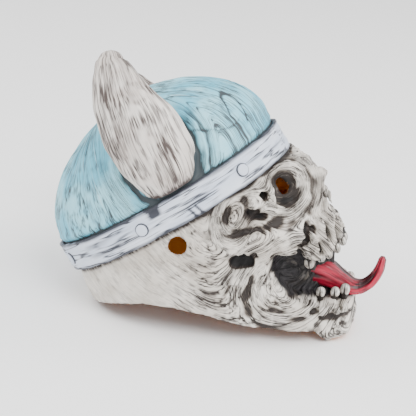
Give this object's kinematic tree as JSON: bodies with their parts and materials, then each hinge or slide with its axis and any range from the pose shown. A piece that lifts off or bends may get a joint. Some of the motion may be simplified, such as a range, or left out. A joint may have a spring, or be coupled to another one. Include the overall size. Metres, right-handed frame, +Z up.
{
  "type": "latex halloween mask",
  "caption": "Overhead latex skull mask with a blue horned helmet, rivetted brow band, open jaw and a curling red tongue.",
  "frame": {"origin": "on the ground under the middle of the whole mask's bounding box, the mask standing on its chin and nape rim", "axes": "+Z up, the face and the tongue point along -Y, the mask's own right side is towards -X"},
  "size_m": [0.26, 0.3159, 0.2494],
  "materials": {
    "bone_skin": "satin",
    "blue_helmet": "satin",
    "grey_band": "satin",
    "band_rivet": "satin",
    "horn_skin": "satin",
    "foam_core": "matte",
    "tooth_ivory": "satin",
    "tongue_red": "satin",
    "mouth_black": "matte"
  },
  "bodies": {
    "skull": {"skull_skin": "bone_skin", "helmet_dome": "blue_helmet", "helmet_band": "grey_band", "band_rivet_1": "band_rivet", "band_rivet_2": "band_rivet", "band_rivet_3": "band_rivet", "band_rivet_4": "band_rivet", "band_rivet_5": "band_rivet", "band_rivet_6": "band_rivet", "band_rivet_7": "band_rivet", "horn_collar_right": "horn_skin", "horn_collar_left": "horn_skin", "mouth_lining": "mouth_black", "upper_tooth_right_1": "tooth_ivory", "upper_tooth_right_2": "tooth_ivory", "upper_tooth_right_3": "tooth_ivory", "upper_tooth_right_4": "tooth_ivory", "upper_tooth_right_5": "tooth_ivory", "upper_tooth_left_1": "tooth_ivory", "upper_tooth_left_2": "tooth_ivory", "upper_tooth_left_3": "tooth_ivory", "upper_tooth_left_4": "tooth_ivory", "upper_tooth_left_5": "tooth_ivory"},
    "jaw": {"jaw_skin": "bone_skin", "tongue_root": "tongue_red", "lower_tooth_right_1": "tooth_ivory", "lower_tooth_right_2": "tooth_ivory", "lower_tooth_right_3": "tooth_ivory", "lower_tooth_left_1": "tooth_ivory", "lower_tooth_left_2": "tooth_ivory", "lower_tooth_left_3": "tooth_ivory"},
    "tongue_middle": {"tongue_middle": "tongue_red"},
    "tongue_tip": {"tongue_tip": "tongue_red"},
    "horn_right": {"horn_right": "horn_skin", "horn_core_right": "foam_core"},
    "horn_left": {"horn_left": "horn_skin", "horn_core_left": "foam_core"}
  },
  "joints": [
    {"name": "jaw_drop", "type": "hinge", "parent": "skull", "child": "jaw", "pos_m": [-0.002, -0.03682, 0.09083], "axis": [1, 0, 0], "range_deg": [0, 7], "stiffness_Nm_per_rad": 1.5},
    {"name": "tongue_nod", "type": "hinge", "parent": "jaw", "child": "tongue_middle", "pos_m": [-0.002, -0.13139, 0.04472], "axis": [1, 0, 0], "range_deg": [-12, 10], "stiffness_Nm_per_rad": 0.06},
    {"name": "tongue_sway", "type": "hinge", "parent": "tongue_middle", "child": "tongue_tip", "pos_m": [-0.002, -0.14122, 0.04712], "axis": [0, 0.5073, 0.8618], "range_deg": [-16, 16], "stiffness_Nm_per_rad": 0.05},
    {"name": "horn_right_nod", "type": "hinge", "parent": "skull", "child": "horn_right", "pos_m": [-0.082, 0.03706, 0.15239], "axis": [1, 0, 0], "range_deg": [-8, 8], "stiffness_Nm_per_rad": 2},
    {"name": "horn_left_nod", "type": "hinge", "parent": "skull", "child": "horn_left", "pos_m": [0.072, 0.04982, 0.13818], "axis": [1, 0, 0], "range_deg": [-8, 8], "stiffness_Nm_per_rad": 2}
  ]
}
